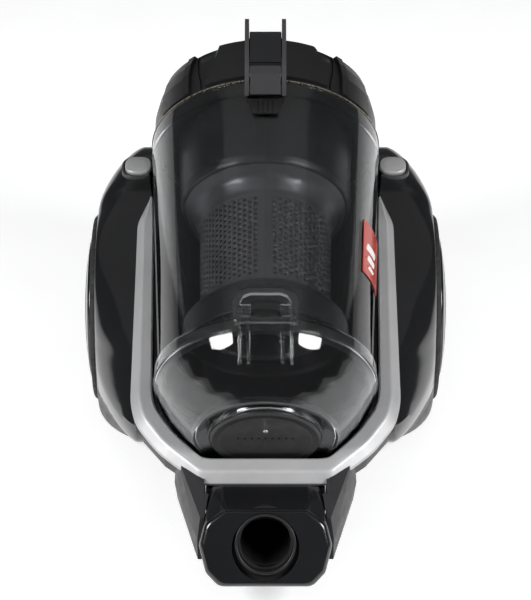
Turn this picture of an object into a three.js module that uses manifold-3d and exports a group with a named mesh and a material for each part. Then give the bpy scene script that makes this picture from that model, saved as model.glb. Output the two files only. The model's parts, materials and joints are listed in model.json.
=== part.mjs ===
// A compact bagless canister vacuum cleaner, in millimetres, +Z up, front towards -Y.
// The origin is on the floor under the middle of the machine.
// A clear dust bin reclines in an open cradle between two wheel lobes. The hose plugs
// into the nose, the head of the bin carries the handle, and the motor sits at the rear.

import * as THREE from 'three';
import { mergeVertices } from 'three/addons/utils/BufferGeometryUtils.js';
import Module from 'manifold-3d';

const wasm = await Module();
wasm.setup();

// ---------------------------------------------------------------- driving dimensions

const GAP = 0.4;                       // room between two pieces that meet
const WALL = 3;                        // moulded shell thickness
const GROUND = 13;                     // ground clearance of the base
const PARTING = 60;                    // height of the joint between base and upper shells
const TILT = THREE.MathUtils.degToRad(22);      // recline of the bin and of the trim frame
const CRADLE_Y = -128.5;               // front bar of the trim frame, middle of its top
const CRADLE_Z = 88;
const AXIS_H = 20;                     // bin axis above the plane of the trim frame

const LID_TOP = 70;                    // stations along the bin axis, from the front bar
const RIM = 275;
const HEAD_END = 324;
const CYLINDER_R = [80, 89];           // bin radius at the lid and at the rim
const BIN_WALL = 2.6;
const LID_R = 82.6;
const HEAD_R = 87;
const CRADLE_ROOM = 2.4;               // between bin and cradle

const WHEEL_Y = 92;
const WHEEL_R = 75;
const LOBE_X = [89, 97, 133];          // inner edge, start of the shoulder, arch edge
const ARCH_R = 82;
const WELL_R = 78.4;
const WELL_X = 115;

const NOSE_TILT = THREE.MathUtils.degToRad(36);
const NOSE_Y = -186.4;                  // middle of the hose socket's face
const NOSE_Z = 66;
const HOSE_R = 20;
const SOCKET_DEPTH = 20;

const DECK_TILT = THREE.MathUtils.degToRad(8);  // of the pedals
const PEDAL_X = 101;
const PEDAL = [10.5, 9.6];             // half width and half length of a pedal

const CASTER_Y = -122;
const CASTER_R = 13;
const TRAIL = 9;

const REEL_Y = 51;
const REEL_R = 46;
const MOTOR_Y = [108, 176];
const MOTOR_Z = 62;
const MOTOR_R = 40;

// --------------------------------------------------------------------------- finishes

const finish = (color, roughness, metalness = 0) =>
  new THREE.MeshStandardMaterial({ color, roughness, metalness });
const GLOSS = () => finish('#26272a', 0.22);
const SATIN = () => finish('#2c2d30', 0.5);
const LOWER = () => finish('#3b3c3f', 0.55);
const GREY = () => finish('#55575b', 0.45);
const SILVER = () => finish('#b9bbbe', 0.35, 0.55);
const SMOKE = () => finish('#8d9296', 0.1);
const RUBBER = () => finish('#1d1d1f', 0.85);
const STEEL = () => finish('#9a9ca0', 0.3, 0.9);
const MACHINE = () => finish('#7d8085', 0.4, 0.7);
const BOARD = () => finish('#2f6b45', 0.6);
const FILTER = () => finish('#d9d6cc', 0.95);
const RED = () => finish('#a83a2a', 0.4);

// --------------------------------------------------------------------- solid modelling

function toSolid(geometry) {
  const bare = geometry.clone();
  bare.deleteAttribute('normal');
  bare.deleteAttribute('uv');
  const merged = mergeVertices(bare, 1e-4);
  const index = merged.index.array;
  const kept = [];
  for (let i = 0; i < index.length; i += 3) {
    const [a, b, c] = [index[i], index[i + 1], index[i + 2]];
    if (a !== b && b !== c && c !== a) kept.push(a, b, c);
  }
  const build = (triangles) => new wasm.Manifold(new wasm.Mesh({
    numProp: 3,
    vertProperties: new Float32Array(merged.attributes.position.array),
    triVerts: new Uint32Array(triangles),
  }));
  const solid = build(kept);
  return solid.volume() > 0 ? solid : build(kept.reverse());
}

function toGeometry(solid) {
  const mesh = solid.getMesh();
  const geometry = new THREE.BufferGeometry();
  geometry.setAttribute('position', new THREE.BufferAttribute(mesh.vertProperties, 3));
  geometry.setIndex(new THREE.BufferAttribute(mesh.triVerts, 1));
  geometry.computeVertexNormals();
  return geometry;
}

// A box between two corners.
function block([x0, y0, z0], [x1, y1, z1]) {
  const box = new THREE.BoxGeometry(x1 - x0, y1 - y0, z1 - z0);
  return toSolid(box.translate((x0 + x1) / 2, (y0 + y1) / 2, (z0 + z1) / 2));
}

// A round bar along one axis, from one end to the other.
function rod(axis, from, to, radius, [u, v] = [0, 0], sides = 32) {
  const bar = new THREE.CylinderGeometry(radius, radius, to - from, sides);
  const middle = (from + to) / 2;
  if (axis === 'x') bar.rotateZ(Math.PI / 2).translate(middle, u, v);
  if (axis === 'y') bar.translate(u, middle, v);
  if (axis === 'z') bar.rotateX(Math.PI / 2).translate(u, v, middle);
  return toSolid(bar);
}

// An outline pushed along one axis. The outline's points are in the other two axes,
// (y, z) for x, and (x, y) for z.
function prism(axis, outline, from, to) {
  const shape = new THREE.Shape(outline.map(([a, b]) => new THREE.Vector2(a, b)));
  const body = new THREE.ExtrudeGeometry(shape, { depth: to - from, bevelEnabled: false });
  body.translate(0, 0, from);
  if (axis === 'x') {
    const turn = new THREE.Matrix4().makeBasis(
      new THREE.Vector3(0, 1, 0), new THREE.Vector3(0, 0, 1), new THREE.Vector3(1, 0, 0));
    body.applyMatrix4(turn);
  }
  return toSolid(body);
}

// A profile of [radius, station] pairs turned about the y axis.
function turned(profile, sides = 40) {
  const points = profile.map(([r, s]) => new THREE.Vector2(r, s));
  return toSolid(new THREE.LatheGeometry(points, sides));
}

// A ring profile that closes on itself.
const turnedRing = (profile, sides) => turned([...profile, profile[0]], sides);

// A skin over a row of sections with equal point counts, closed at both ends.
function loft(sections) {
  const count = sections[0].length;
  const points = sections.flat();
  const index = [];
  for (let i = 0; i + 1 < sections.length; i += 1) {
    for (let j = 0; j < count; j += 1) {
      const a = i * count + j;
      const b = i * count + (j + 1) % count;
      index.push(a, b, b + count, a, b + count, a + count);
    }
  }
  for (const [row, flip] of [[0, true], [sections.length - 1, false]]) {
    const centre = new THREE.Vector3();
    sections[row].forEach((point) => centre.addScaledVector(point, 1 / count));
    points.push(centre);
    for (let j = 0; j < count; j += 1) {
      const a = row * count + j;
      const b = row * count + (j + 1) % count;
      index.push(points.length - 1, flip ? b : a, flip ? a : b);
    }
  }
  const skin = new THREE.BufferGeometry().setFromPoints(points);
  skin.setIndex(index);
  return toSolid(skin);
}

const mirrored = (solid) => toSolid(toGeometry(solid).scale(-1, 1, 1));
const moved = (solid, matrix) => toSolid(toGeometry(solid).applyMatrix4(matrix));
const lerp = THREE.MathUtils.lerp;

// --------------------------------------------------------------------- frames and groups

const vacuum = new THREE.Group();

const trimPlane = new THREE.Group();           // y runs up the bin, z away from the cradle
trimPlane.position.set(0, CRADLE_Y, CRADLE_Z);
trimPlane.rotation.x = TILT;
vacuum.add(trimPlane);

const binAxis = new THREE.Group();             // y is the axis of the bin
binAxis.position.z = AXIS_H;
trimPlane.add(binAxis);

const deck = new THREE.Group();                // z is the way a pedal stands up
deck.position.set(0, 127, 186.6);
deck.rotation.x = DECK_TILT;
vacuum.add(deck);

const nose = new THREE.Group();                // -y points out of the hose socket
nose.position.set(0, NOSE_Y, NOSE_Z);
nose.rotation.x = -NOSE_TILT;
vacuum.add(nose);

vacuum.updateMatrixWorld(true);
const fromBin = (solid) => moved(solid, binAxis.matrixWorld);
const fromTrim = (solid) => moved(solid, trimPlane.matrixWorld);
const fromNose = (solid) => moved(solid, nose.matrixWorld);
const fromDeck = (solid) => moved(solid, deck.matrixWorld);

function add(group, name, solid, material, position = [0, 0, 0]) {
  const mesh = new THREE.Mesh(toGeometry(solid), material);
  mesh.name = name;
  mesh.position.set(...position);
  group.add(mesh);
  return mesh;
}

// ------------------------------------------------------------------- shapes in common

const binRadius = (s) => lerp(CYLINDER_R[0], CYLINDER_R[1], (s - LID_TOP) / (RIM - LID_TOP));

// The lid's outside, from the edge of its end face up to the seam.
const LID_OUTLINE = [[53, 15], [62, 24], [71.5, 36], [79, 50], [LID_R, 59]];

// The outside of the cradle: the bin's own outline, grown all round.
function cradleOutline(grow) {
  const under = LID_OUTLINE.map(([r, s]) => [r + CRADLE_ROOM + grow, s - grow / 2]);
  return [...under, [binRadius(RIM) + CRADLE_ROOM + grow, RIM - 1]];
}

const cradleRadius = (s) => lerp(LID_R, CYLINDER_R[1], (s - 58) / (RIM - 59)) + CRADLE_ROOM + WALL;

// Everything the bin needs to drop into the body, and to be lifted out again.
function binRoom(grow) {
  const outline = cradleOutline(grow);
  const front = 9 - grow;
  const pit = turned([[0, front], [outline[0][0] - 3, front], ...outline, [0, RIM - 1]], 48);
  const plan = [...outline.map(([r, s]) => [r, s]), ...outline.map(([r, s]) => [-r, s]).reverse()];
  return pit.add(prism('z', plan, 0, 160));
}
const headRoom = (grow) => {
  const radius = HEAD_R + 3.5 + grow;
  const seat = rod('y', RIM - 2, RIM + 90, radius, [0, 0], 48);
  return seat.add(block([-radius, RIM - 2, 0], [radius, RIM + 90, 160]));
};
const bodyRoom = fromBin(binRoom(WALL + GAP)).add(fromBin(headRoom(GAP)));

// The body seen from the side: floor, belly, deck, and rear.
const SIDE = [[0, GROUND], [-40, 42], [-76, 71], [-86, 93], [-80, 98], [30, 143.5], [106, 175],
  [118, 187], [142, 191], [160, 187], [180, 161], [192, 124], [199, 84], [200, 50], [194, 24],
  [184, GROUND]];

// How far the side outline is from the wheel's centre in one direction.
function sideReach(angle) {
  const [cy, cz] = [WHEEL_Y, WHEEL_R];
  const [dy, dz] = [Math.cos(angle), Math.sin(angle)];
  let reach = 0;
  SIDE.forEach(([ay, az], i) => {
    const [by, bz] = SIDE[(i + 1) % SIDE.length];
    const [ey, ez] = [by - ay, bz - az];
    const det = dy * ez - dz * ey;
    const t = ((ay - cy) * ez - (az - cz) * ey) / det;
    const u = ((ay - cy) * dz - (az - cz) * dy) / det;
    if (t > 0 && u >= -1e-9 && u <= 1 + 1e-9) reach = Math.max(reach, t);
  });
  return reach;
}

// One wheel lobe: the side outline shrinks to the round wheel arch as it goes outwards.
function lobe(inset) {
  const turns = 36;
  const steps = 4;
  const stations = [LOBE_X[0] - 3 * inset];
  for (let i = 0; i <= steps; i += 1) {
    stations.push(lerp(LOBE_X[1], LOBE_X[2] - inset, Math.sin((i / steps) * Math.PI / 2)));
  }
  const sections = stations.map((x) => Array.from({ length: turns }, (_, j) => {
    const angle = (j / turns) * 2 * Math.PI;
    const reach = sideReach(angle);
    const slope = reach > 125 ? 1.35 : 1.8;
    const out = Math.max(0, (x - LOBE_X[1]) / (LOBE_X[2] - inset - LOBE_X[1]));
    const blend = (1 - out ** slope) ** (1 / slope);
    const radius = lerp(ARCH_R, reach, blend) - inset;
    return new THREE.Vector3(x, WHEEL_Y + radius * Math.cos(angle), WHEEL_R + radius * Math.sin(angle));
  }));
  return loft(sections);
}

const BIG = 400;
const above = (z) => block([-BIG, -BIG, z], [BIG, BIG, BIG]);
const below = (z) => block([-BIG, -BIG, -BIG], [BIG, BIG, z]);
const wheelAt = (radius, from, to) => rod('x', from, to, radius, [WHEEL_Y, WHEEL_R], 38);

const lobeOutside = lobe(0).intersect(above(GROUND));
const lobeInside = lobe(WALL);
const wellPocket = wheelAt(WELL_R, WELL_X, 160);
const lobeHollow = lobeInside.subtract(wheelAt(WELL_R + 2.5, WELL_X - 2.5, 160));
const lobeShell = lobeOutside.subtract(lobeHollow).subtract(wellPocket);

// ------------------------------------------------------------------------- trim frame

// Half of the frame in its own plane: [outer x, outer s, inner x, inner s].
const TRIM_HALF = [[0, -9, 0, 9], [46, -9, 41, 9], [50, -7.5, 47.5, 10], [80, 17.5, 69.5, 31],
  [97.5, 41.5, 84, 53], [101.5, 60, 86.5, 66], [100.3, 221, 88.6, 223], [91.2, 244, 89.2, 243]];

function trimSections(grow) {
  const section = ([ox, os, ix, is]) => {
    const across = new THREE.Vector2(ox - ix, os - is).normalize().multiplyScalar(grow);
    const [ax, ay, bx, by] = [ox + across.x, os + across.y, ix - across.x, is - across.y];
    return [[ax, ay, -8 - grow], [ax, ay, -5 + grow], [lerp(ox, ix, 0.45), lerp(os, is, 0.45), grow],
      [bx, by, -1.5 + grow], [bx, by, -8 - grow]].map((point) => new THREE.Vector3(...point));
  };
  const right = TRIM_HALF.map(section);
  const left = right.slice(1).reverse()
    .map((row) => row.map((point) => new THREE.Vector3(-point.x, point.y, point.z)));
  return [...left, ...right];
}
const trimRoom = fromTrim(loft(trimSections(GAP)));
add(trimPlane, 'trim_frame', loft(trimSections(0)), SILVER());

// ------------------------------------------------------------------------------- body

// A flat pad with round ends, standing on the deck.
function pad(x, from, to, [halfWidth, halfLength]) {
  const outline = [];
  for (let i = 0; i < 20; i += 1) {
    const angle = (i / 20) * 2 * Math.PI;
    const squared = (value) => Math.sign(value) * Math.abs(value) ** 0.75;
    outline.push([x + halfWidth * squared(Math.cos(angle)), halfLength * squared(Math.sin(angle))]);
  }
  return prism('z', outline, from, to);
}

const pedalRoom = (side) => fromDeck(pad(side * PEDAL_X, -26, 34, [PEDAL[0] + 1, PEDAL[1] + 1]));
const bossRoom = rod('x', 90, 120, 11.5, [WHEEL_Y, WHEEL_R], 20)
  .add(block([90, WHEEL_Y - 11.5, 0], [120, WHEEL_Y + 11.5, WHEEL_R]));
const upperRight = lobeShell.intersect(above(PARTING + GAP)).subtract(bodyRoom).subtract(trimRoom)
  .subtract(bossRoom);
add(vacuum, 'right_fender', upperRight.subtract(pedalRoom(1)), GLOSS());
add(vacuum, 'left_fender', mirrored(upperRight).subtract(pedalRoom(-1)), GLOSS());

const cradleShell = turned([[0, 6], [54, 6], ...cradleOutline(WALL), [0, RIM - 1]])
  .subtract(turned([[0, 9], [52, 9], ...cradleOutline(0), [92, RIM + 9], [0, RIM + 9]]));
const INLET = [17, 92, 114];           // half width and stations of the dirty air inlet
const inletHole = (grow) =>
  block([-INLET[0] - grow, INLET[1] - grow, -130], [INLET[0] + grow, INLET[2] + grow, -50]);
const belowTrim = block([-120, 0, -120], [120, 300, -AXIS_H - 8 - GAP]);
add(binAxis, 'cradle', cradleShell.intersect(belowTrim).subtract(inletHole(0)), SATIN());

// The skirt under the front of the trim frame.
const cowlOutline = (inset) => {
  const half = [[46 - inset / 2, -6 + inset], [75 - inset, 16 + inset / 2], [92 - inset, 37 + inset]];
  return [...half.map(([x, s]) => [-x, s]).reverse(), ...half];
};
const cowlSolid = prism('z', cowlOutline(0), -26, -8 - GAP);
const cowlRoom = fromTrim(prism('z', cowlOutline(-GAP), -26 - GAP, 0));
const cowlHollow = prism('z', [...cowlOutline(WALL)], -40, 5);
const tunnel = block([-50.5, -20, -60], [50.5, 12, -14]);
add(trimPlane, 'front_cowl', cowlSolid.subtract(cowlHollow).subtract(tunnel), SATIN());

// Rear housing: between the lobes, behind and under the head of the bin.
const centre = (inset) => {
  const half = LOBE_X[0] - GAP - inset;
  return prism('x', SIDE, -half, half);
};
const SHRINK = new THREE.Matrix4().makeTranslation(0, 6, 9)
  .multiply(new THREE.Matrix4().makeScale(1, 0.955, 0.9));
const centreInside = moved(centre(WALL), SHRINK);
const LIFT = new THREE.Matrix4().makeTranslation(0, 6, WALL - 0.2)
  .multiply(new THREE.Matrix4().makeScale(1, 0.955, 1));
const baseInside = moved(centre(WALL), LIFT);
const behind = block([-BIG, 158, PARTING + GAP], [BIG, BIG, BIG]);
const [GLAND_X, GLAND_Z] = [-76, 84];
const GRILLE = [56, 70, 118];          // half width, bottom and top of the exhaust window
const window = block([-GRILLE[0], 180, GRILLE[1]], [GRILLE[0], 230, GRILLE[2]]);
const airSeat = fromBin(block([-26, 286, -120], [26, 304, -60]));
const grillePocket = block([-GRILLE[0] - 5, 196.5, GRILLE[1] - 5], [GRILLE[0] + 5, 230, GRILLE[2] + 5]);
const rear = centre(0).intersect(behind).subtract(bodyRoom)
  .subtract(centreInside.subtract(fromBin(headRoom(GAP + WALL)))
    .intersect(block([-BIG, 100, 0], [BIG, 196, BIG])));
add(vacuum, 'rear_housing', rear.subtract(window).subtract(grillePocket).subtract(airSeat)
  .subtract(rod('y', 180, 220, 7.4, [GLAND_X, GLAND_Z], 20)), GLOSS());

// Base: a tub with two wheel wells, and a tongue that carries the caster and the nose.
const TONGUE = [[-145, 29], [-101, 29], [-80, GROUND], [-20, GROUND], [-20, PARTING],
  [-60, 72], [-136, 72], [-145, 42]];
const tongueInside = [[-170, 32], [-100.5, 32], [-79, GROUND + WALL + 0.4],
  [-8, GROUND + WALL + 0.4], [-8, 90], [-170, 90]];
const tub = centre(-GAP).add(lobeOutside).add(mirrored(lobeOutside)).intersect(below(PARTING))
  .add(prism('x', TONGUE, -44, 44));
const hollow = baseInside.add(lobeHollow).add(mirrored(lobeHollow))
  .intersect(block([-BIG, -BIG, GROUND + WALL], [BIG, 194, BIG]))
  .add(prism('x', tongueInside, -41, 41));
const axleBoss = rod('x', 100, WELL_X - 1, 11, [WHEEL_Y, WHEEL_R], 20)
  .add(block([103, WHEEL_Y - 11, GROUND + 1], [WELL_X - 1, WHEEL_Y + 11, WHEEL_R]))
  .intersect(lobeOutside);
const axleHole = rod('x', 90, 150, 6.4, [WHEEL_Y, WHEEL_R], 20);
const floorRing = rod('z', 29, 34.5, 11, [0, CASTER_Y], 20);
const SCREWS = [[-70, 20], [70, 20]];
let base = tub.subtract(hollow).add(floorRing).add(axleBoss).add(mirrored(axleBoss))
  .subtract(wellPocket).subtract(mirrored(wellPocket))
  .subtract(axleHole).subtract(mirrored(axleHole))
  .subtract(rod('z', 20, 60, 6.6, [0, CASTER_Y], 20))
  .subtract(bodyRoom);
for (const [x, y] of SCREWS) base = base.subtract(rod('z', 0, GROUND + WALL + 9, 3.4, [x, y], 16));
add(vacuum, 'lower_base', base, LOWER());

SCREWS.forEach(([x, y], i) => {
  const screw = turned([[0, 0], [3, 0], [3, 1.5], [2, 3], [1.6, 11], [0, 13]], 16);
  const mesh = add(vacuum, `base_screw_${i + 1}`, screw, STEEL(), [x, y, GROUND + 0.3]);
  mesh.rotation.x = Math.PI / 2;
});

// ------------------------------------------------------------------------------- nose

// The octagonal face of the nose: x, and height along the face.
const FACE = [[-31, 25], [-44.5, 15], [-48.5, -1], [-43.5, -21], [-34, -31],
  [34, -31], [43.5, -21], [48.5, -1], [44.5, 15], [31, 25]];
const MIDDLE_SECTION = [[-31, -158, 84.4], [-43, -163, 78], [-46.5, -174, 61],
  [-43.5, -184, 40], [-35, -189, 31]];
const REAR_SECTION = [[-31, 81], [-41, 79], [-43, 62], [-43, 38], [-36, 28.7],
  [36, 28.7], [43, 38], [43, 62], [41, 79], [31, 81]];

function noseLoft(inset, overshoot) {
  const shrink = (value) => value - Math.sign(value) * inset;
  const depth = overshoot ? WALL : 0;
  const faceAt = (y, share) => FACE.map(([x, v]) => (
    new THREE.Vector3(share * shrink(x), y, share * shrink(v)).applyMatrix4(nose.matrixWorld)));
  const front = faceAt(depth, 0.89);
  const brow = faceAt(depth + 5, 1);
  const half = MIDDLE_SECTION.map(([x, y, z]) => new THREE.Vector3(x + inset, y, 57 + shrink(z - 57)));
  const otherHalf = half.map((point) => new THREE.Vector3(-point.x, point.y, point.z)).reverse();
  const middle = [...half, ...otherHalf];
  const rear = REAR_SECTION.map(([x, z]) => new THREE.Vector3(shrink(x), -139, 57 + shrink(z - 57)));
  const back = rear.map((point) => new THREE.Vector3(point.x, -138 + overshoot, point.z));
  return loft([front, brow, middle, rear, back]);
}
const socketBore = fromNose(rod('y', -5, 7, 27.3, [0, 0], 36).add(rod('y', 5, 26, 23.4, [0, 0], 36)));
const tongueRoom = prism('x', [[-145.5, 28], [-100, 28], [-100, 73.4], [-137.3, 73.4],
  [-145.5, 42.4]], -44.4, 44.4);
const nosePiece = noseLoft(0, 0).subtract(noseLoft(WALL, 40)).subtract(socketBore).subtract(tongueRoom);
add(vacuum, 'nose_block', nosePiece, GLOSS());

const socket = turnedRing([[HOSE_R, 3], [27, 3], [27, 6], [23, 6], [23, SOCKET_DEPTH],
  [HOSE_R, SOCKET_DEPTH]], 36);
add(nose, 'hose_socket', socket, SATIN());
add(nose, 'socket_seal', turnedRing([[18.6, 20.4], [22.6, 20.4], [22.6, 23], [18.6, 23]], 28), RUBBER());

// Side fairings between the nose and the frame, flaring towards the rear.
const WING = [
  [[49.4, -180, 46], [49.8, -174, 59], [47.6, -166, 74], [40, -166, 74], [40, -180, 46]],
  [[66, -112, 46], [68, -112, 62], [66, -112, 90], [44.8, -112, 90], [44.8, -112, 46]],
];
const noseRoom = noseLoft(-GAP, 0);
const wing = loft(WING.map((row) => row.map((point) => new THREE.Vector3(...point))))
  .subtract(noseRoom).subtract(mirrored(noseRoom)).subtract(cowlRoom).subtract(trimRoom)
  .subtract(block([-44.8, -146, 20], [44.8, -90, 120]));
add(vacuum, 'right_wing', wing, LOWER());
add(vacuum, 'left_wing', mirrored(wing), LOWER());

// --------------------------------------------------------------------------- air path

const SEAL_SEAT = -cradleRadius(INLET[2] + 3) - 2.2 - GAP;

// The dirty air duct, from the socket under the bin to the cylinder's inlet.
const DUCT_END = new THREE.Vector3(0, (INLET[1] + INLET[2]) / 2, SEAL_SEAT - GAP)
  .applyMatrix4(binAxis.matrixWorld);
const socketEnd = new THREE.Vector3(0, 23.5, 0).applyMatrix4(nose.matrixWorld);
const ductPath = new THREE.CatmullRomCurve3([socketEnd, new THREE.Vector3(0, -148, 48),
  new THREE.Vector3(0, -124, 49), new THREE.Vector3(0, -98, 43.4), new THREE.Vector3(0, -72, 34),
  new THREE.Vector3(0, -42, 33), new THREE.Vector3(0, -16, 40), DUCT_END]);

function duct(grow, reach) {
  const steps = 12;
  const sections = [];
  for (let i = 0; i <= steps; i += 1) {
    const t = i / steps;
    const centrePoint = ductPath.getPoint(t);
    const tangent = ductPath.getTangent(t);
    if (i === 0) tangent.set(0, Math.cos(NOSE_TILT), -Math.sin(NOSE_TILT));
    if (i === steps) tangent.set(0, -Math.sin(TILT), Math.cos(TILT));
    if (i === 0) centrePoint.addScaledVector(tangent, -reach);
    if (i === steps) centrePoint.addScaledVector(tangent, reach);
    const upward = new THREE.Vector3(0, -tangent.z, tangent.y);
    const flat = Math.min(1, t * 6);
    const [a, b] = [lerp(19, 17, flat) + grow, lerp(17, 9.5, flat) + grow];
    sections.push(Array.from({ length: 12 }, (_, j) => {
      const angle = (j / 12) * 2 * Math.PI;
      const squared = (value) => Math.sign(value) * Math.abs(value) ** lerp(1, 0.6, flat);
      return new THREE.Vector3(a * squared(Math.cos(angle)), 0, 0).add(centrePoint)
        .addScaledVector(upward, b * squared(Math.sin(angle)));
    }));
  }
  return loft(sections);
}
add(vacuum, 'inlet_duct', duct(1.6, 0).subtract(duct(0, 1)), SATIN());

const sealFrame = block([-20, INLET[1] - 3, 0], [20, INLET[2] + 3, 2.2])
  .subtract(block([-INLET[0], INLET[1], -1], [INLET[0], INLET[2], 4]));
add(binAxis, 'duct_seal', sealFrame, RUBBER(), [0, 0, SEAL_SEAT]);

// -------------------------------------------------------------------- motor and inside

const motorRing = (from, to, inner, outer) =>
  turnedRing([[inner, from], [outer, from], [outer, to], [inner, to]], 28);
const motorAt = [0, 0, MOTOR_Z];
const casing = turnedRing([[16, MOTOR_Y[0]], [30, MOTOR_Y[0]], [MOTOR_R, MOTOR_Y[0] + 4],
  [MOTOR_R, MOTOR_Y[1] - 22], [32, MOTOR_Y[1] - 14], [32, MOTOR_Y[1]], [29, MOTOR_Y[1]],
  [29, MOTOR_Y[1] - 16], [37, MOTOR_Y[1] - 24], [37, MOTOR_Y[0] + 6], [16, MOTOR_Y[0] + 6]], 28);
add(vacuum, 'motor_casing', casing, MACHINE(), motorAt);
const frontMount = motorRing(MOTOR_Y[0] + 8, MOTOR_Y[0] + 18, MOTOR_R + GAP, MOTOR_R + 5);
add(vacuum, 'motor_front_mount', frontMount, RUBBER(), motorAt);
const rearMount = motorRing(MOTOR_Y[1] - 10, MOTOR_Y[1] - 2, 32 + GAP, 38);
add(vacuum, 'motor_rear_mount', rearMount, RUBBER(), motorAt);
const fan = turned([[0, MOTOR_Y[0] - 4], [4, MOTOR_Y[0] - 4], [4, MOTOR_Y[0] + 8],
  [33, MOTOR_Y[0] + 9], [34, MOTOR_Y[0] + 18], [8, MOTOR_Y[0] + 22], [8, MOTOR_Y[1] - 30],
  [0, MOTOR_Y[1] - 30]], 24);
add(vacuum, 'impeller', fan, MACHINE(), motorAt);

const spool = turnedRing([[9, 18], [REEL_R, 18], [REEL_R, 20.5], [26, 21], [26, 37], [REEL_R, 37.5],
  [REEL_R, 40], [9, 40]], 32);
const upright = new THREE.Matrix4().makeRotationX(Math.PI / 2);
add(vacuum, 'cord_reel', moved(spool, upright), SATIN(), [0, REEL_Y, 0]);
const spindle = rod('z', GROUND + WALL + GAP, 48, 8, [0, REEL_Y], 20);
add(vacuum, 'reel_spindle', spindle, STEEL());

add(vacuum, 'control_board', block([62, 118, 30], [64, 168, 88]), BOARD());
add(deck, 'power_switch', pad(PEDAL_X, -27, -19, [7, 8.5]), SATIN());

add(vacuum, 'exhaust_filter', block([-52, 184, 72], [52, 193, 112]), FILTER());
let cover = block([-60, 197.2, 66], [60, 204.6, 122]);
for (let z = 76; z < 112; z += 6.6) cover = cover.subtract(block([-50, 190, z], [50, 210, z + 3]));
add(vacuum, 'exhaust_grille', cover, SATIN());

const gland = turnedRing([[4, 0], [9, 0], [9, 2.5], [7, 2.5], [7, 10], [4, 10]], 20);
add(vacuum, 'cord_gland', gland, RUBBER(), [GLAND_X, 191, GLAND_Z]);

// ------------------------------------------------------------------------------ wheels

const acrossX = new THREE.Matrix4().makeRotationZ(-Math.PI / 2);
const tyreProfile = [[69, -9], [73, -10], [75, -7], [75, 7], [72.5, 9.6], [69, 9]];
const hubProfile = [[7, -9], [66, -9], [68.6, -7], [68.6, 8], [60, 9.6], [40, 4.4], [7, 4.4]];
const capProfile = [[0, 5], [36, 7], [58, 10.2], [56, 12.4], [44, 14.6], [24, 16.6], [0, 17.2]];
for (const [name, side] of [['right', 1], ['left', -1]]) {
  const axle = new THREE.Group();
  axle.position.set(side * 128, WHEEL_Y, WHEEL_R);
  if (side < 0) axle.rotation.y = Math.PI;
  vacuum.add(axle);
  add(axle, `${name}_tyre`, moved(turnedRing(tyreProfile, 36), acrossX), RUBBER());
  add(axle, `${name}_wheel`, moved(turnedRing(hubProfile, 32), acrossX), LOWER());
  add(axle, `${name}_hub_cap`, moved(turned(capProfile, 32), acrossX), GLOSS());
  add(axle, `${name}_axle`, rod('x', -27, 3.6, 6, [0, 0], 20), STEEL());
}

// A small trailing caster under the nose.
const caster = new THREE.Group();
caster.position.set(0, CASTER_Y, 0);
vacuum.add(caster);
const wheelY = TRAIL;
const forkSide = [[wheelY - 5, 13], [wheelY - 4, 8], [wheelY + 4, 8], [wheelY + 5, 13],
  [13, 28.4], [-11, 28.4], [-11, 26]];
const fork = prism('x', forkSide, -11, 11)
  .subtract(block([-8.6, -30, 0], [8.6, 40, 26.6]))
  .add(rod('z', 27, 36, 6, [0, 0], 20))
  .subtract(rod('x', -20, 20, 2.7, [wheelY, CASTER_R], 16));
add(caster, 'caster_fork', fork, SATIN());
const roller = turnedRing([[3, -8], [11.5, -8], [CASTER_R, -6], [CASTER_R, 6], [11.5, 8], [3, 8]], 28);
add(caster, 'caster_wheel', moved(roller, acrossX), RUBBER(), [0, wheelY, CASTER_R]);
add(caster, 'caster_axle', rod('x', -11.6, 11.6, 2.3, [wheelY, CASTER_R], 16), STEEL());

// ----------------------------------------------------------------------------- pedals

for (const [name, side] of [['power', 1], ['rewind', -1]]) {
  const x = side * PEDAL_X;
  const crown = pad(x, 3.9, 5.2, [PEDAL[0] - 1.5, PEDAL[1] - 1.5]);
  const stem = rod('z', -9, 1, 3, [x, 0], 16);
  add(deck, `${name}_button`, pad(x, 0, 3.9, PEDAL).add(crown).add(stem), SILVER());
  const spring = new THREE.CatmullRomCurve3(Array.from({ length: 25 }, (_, i) => {
    const angle = (i / 8) * 2 * Math.PI;
    return new THREE.Vector3(5 * Math.cos(angle), 5 * Math.sin(angle), -8.2 + i * 0.28);
  }));
  const wire = new THREE.Shape().absarc(0, 0, 0.6, 0, 2 * Math.PI);
  const sweep = { steps: 24, extrudePath: spring, curveSegments: 2 };
  const coil = toSolid(new THREE.ExtrudeGeometry(wire, sweep));
  add(deck, `${name}_spring`, coil, STEEL(), [x, 0, 0.2]);
}

// -------------------------------------------------------------------------------- bin

const tubeProfile = [[CYLINDER_R[0], LID_TOP + GAP], [binRadius(RIM - 14), RIM - 14],
  [89, RIM - 12], [89, RIM], [89 - BIN_WALL, RIM], [CYLINDER_R[0] - BIN_WALL, LID_TOP + GAP]];
add(binAxis, 'bin_cylinder', turnedRing(tubeProfile, 48).subtract(inletHole(-1)), SMOKE());
const rimRing = turnedRing([[84.5, RIM + 0.3], [89.4, RIM + 0.3], [89.4, RIM + 2.2],
  [84.5, RIM + 2.2]], 48);
add(binAxis, 'rim_ring', rimRing, SILVER());

const lidInside = LID_OUTLINE.map(([r, s]) => [r - 2.4, s + 1.4]).reverse();
const lid = turnedRing([[41.4, 15], ...LID_OUTLINE, [LID_R, LID_TOP], [80.2, LID_TOP], ...lidInside,
  [41.4, 17.6]], 36);
add(binAxis, 'bin_lid', lid, SMOKE());
const endPlate = turned([[0, 12.6], [39, 12.6], [41, 14], [41, 18], [0, 18]], 32);
add(binAxis, 'end_plate', endPlate, SATIN());
const lidSeal = turnedRing([[75, LID_TOP - 6], [79.4, LID_TOP - 6], [79.4, LID_TOP - 1],
  [75, LID_TOP - 1]], 36);
add(binAxis, 'lid_seal', lidSeal, RUBBER());

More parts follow.
